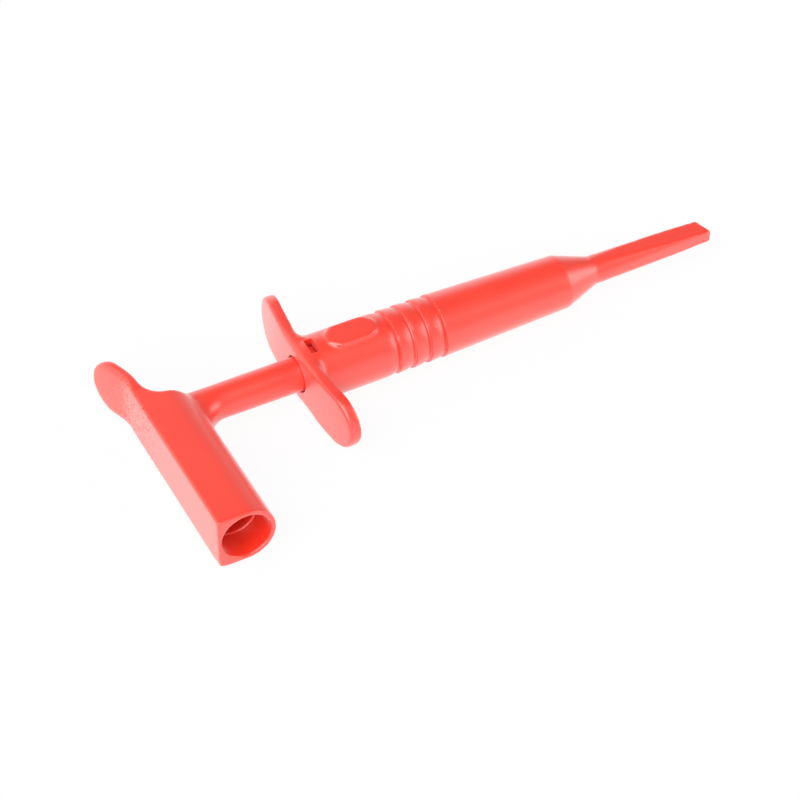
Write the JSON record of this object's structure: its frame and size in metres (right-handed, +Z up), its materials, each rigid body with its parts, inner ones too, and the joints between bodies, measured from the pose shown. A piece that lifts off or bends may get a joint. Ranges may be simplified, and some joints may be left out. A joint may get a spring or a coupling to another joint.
{
  "type": "test hook clip",
  "caption": "Push-out hook test clip: a T-handle with a shrouded plug socket and thumb tongue slides in a finger-guarded barrel and pushes a sprung wire hook out of a slim nose.",
  "frame": {"origin": "centre of the plug socket's mouth, in the plane of the handle's end face", "axes": "+X along the rod towards the nose and the hook, +Y from the socket's mouth along the handle to the thumb tongue, +Z up out of the barrel's raised pad"},
  "size_m": [0.1123, 0.0472, 0.012],
  "materials": {
    "moulded_plastic": "satin moulded",
    "nickel_plate": "plated",
    "drawn_brass": "drawn",
    "spring_steel": "drawn"
  },
  "bodies": {
    "barrel": {"barrel": "moulded_plastic", "front_washer": "spring_steel", "return_spring": "spring_steel"},
    "plunger": {"handle": "moulded_plastic", "socket_contact": "nickel_plate", "core_rod": "drawn_brass", "rod_ferrule": "nickel_plate", "hook": "spring_steel", "rear_washer": "spring_steel"}
  },
  "joints": [
    {"name": "hook_push", "type": "slide", "parent": "barrel", "child": "plunger", "axis": [1, 0, 0], "range_m": [0, 0.014], "stiffness_N_per_m": 150, "springref_m": -0.01, "deforming": ["return_spring"]}
  ]
}
